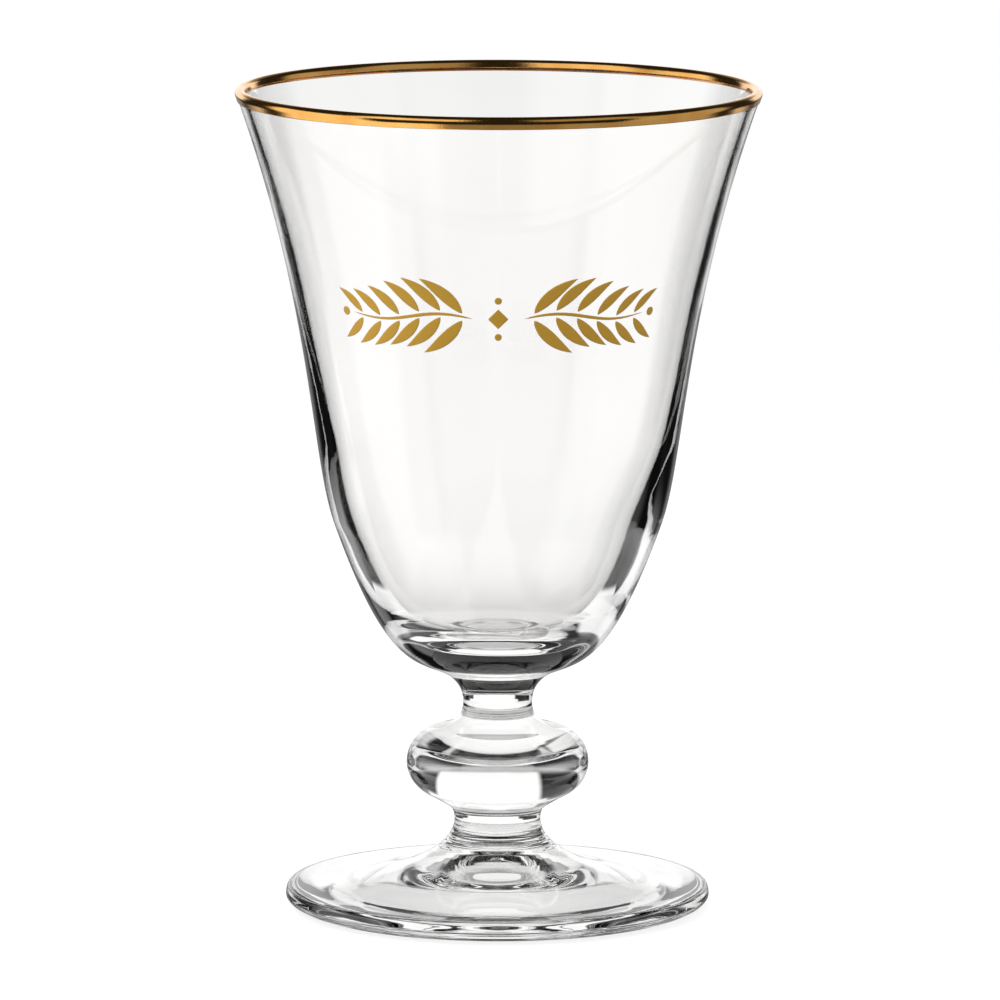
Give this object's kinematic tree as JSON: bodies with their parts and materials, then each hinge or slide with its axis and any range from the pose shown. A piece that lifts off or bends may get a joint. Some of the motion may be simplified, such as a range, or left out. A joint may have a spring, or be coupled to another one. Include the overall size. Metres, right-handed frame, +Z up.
{
  "type": "goblet",
  "caption": "Clear glass goblet with a flared bell bowl, gold-banded lip, short knopped stem and round spread foot, for serving wine or water at the table.",
  "frame": {"origin": "centre of the resting plane under the foot, on the goblet's axis", "axes": "+Z up along the goblet's axis from the foot to the mouth; -Y is the printed front; +X is the viewer's right"},
  "size_m": [0.0888, 0.0888, 0.14],
  "materials": {
    "bowl_glass": "clear, fire-polished",
    "stem_glass": "clear, pressed and fire-polished",
    "foot_glass": "clear, pressed, with faint ripples near the stem",
    "gold": "bright fired gold"
  },
  "bodies": {
    "root": {"foot": "foot_glass", "lower_neck": "stem_glass", "knop": "stem_glass", "upper_neck": "stem_glass", "bowl": "bowl_glass", "gold_rim": "gold"}
  },
  "joints": []
}
